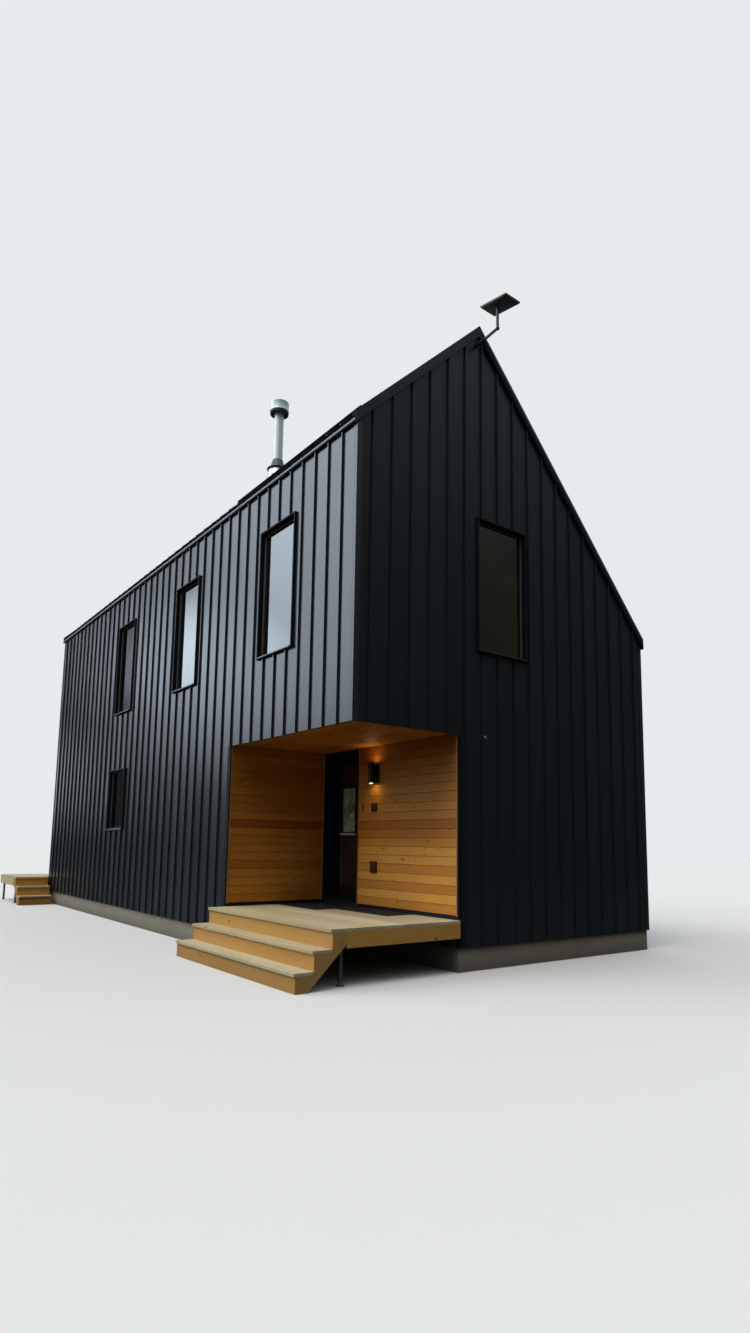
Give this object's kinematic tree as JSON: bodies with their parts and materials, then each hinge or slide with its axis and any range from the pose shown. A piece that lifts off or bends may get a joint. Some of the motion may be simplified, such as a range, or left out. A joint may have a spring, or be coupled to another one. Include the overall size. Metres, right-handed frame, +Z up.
{
  "type": "cabin with a saltbox gable roof and a corner porch",
  "caption": "Narrow two-storey timber cabin clad in black standing-seam metal, with a steep saltbox gable roof, a wood-lined corner porch, an entry door and wooden decks.",
  "frame": {"origin": "middle of the footprint's box at ground level", "axes": "+X along the front gable from the porch corner to the low eave, +Y along the long walls away from the front gable, +Z up"},
  "size_m": [6.456, 14.6758, 9.542],
  "materials": {
    "concrete": "cast, matt",
    "framing": "sawn, matt",
    "porch_wood": "oiled, satin",
    "black_cladding": "satin paint",
    "black_trim": "satin paint",
    "window_glass": "clear, polished",
    "door_paint": "satin paint",
    "black_fittings": "matt paint",
    "deck_wood": "planed, matt",
    "galvanised": "galvanised, dull",
    "mat_rubber": "ribbed, matt",
    "stainless": "brushed",
    "flashing": "dull",
    "panel_plastic": "matt"
  },
  "bodies": {
    "root": {"foundation": "concrete", "ground_floor": "framing", "upper_floor": "framing", "left_wall": "framing", "front_wall": "framing", "right_wall": "framing", "back_wall": "framing", "porch_back_wall": "framing", "porch_side_wall": "framing", "porch_door_header": "framing", "roof_left": "framing", "roof_right": "framing", "porch_ceiling": "porch_wood", "porch_wall_boards": "porch_wood", "left_cladding": "black_cladding", "front_cladding": "black_cladding", "right_cladding": "black_cladding", "back_cladding": "black_cladding", "roof_metal_left": "black_cladding", "roof_metal_right": "black_cladding", "ridge_cap": "black_trim", "rake_trims": "black_trim", "eave_trims": "black_trim", "corner_trims": "black_trim", "window_frames": "black_trim", "snow_guard": "black_trim", "window_glass": "window_glass", "door_frame": "door_paint", "back_door": "door_paint", "wall_light": "black_fittings", "wall_fittings": "black_fittings", "deck_boards": "deck_wood", "deck_frame": "deck_wood", "stair_treads": "deck_wood", "stair_risers": "deck_wood", "stair_stringers": "deck_wood", "deck_posts": "galvanised", "antenna_mast": "galvanised", "door_mats": "mat_rubber", "flue_pipe": "stainless", "flue_cap": "stainless", "flue_flashing": "flashing", "antenna_panel": "panel_plastic"},
    "door": {"entry_door": "door_paint", "door_glass": "window_glass", "door_handle": "black_fittings"}
  },
  "joints": [
    {"name": "entry_door_hinge", "type": "hinge", "parent": "root", "child": "door", "pos_m": [-0.597, -4.00908, 1.7], "axis": [0, 0, 1], "range_deg": [0, 100]}
  ]
}
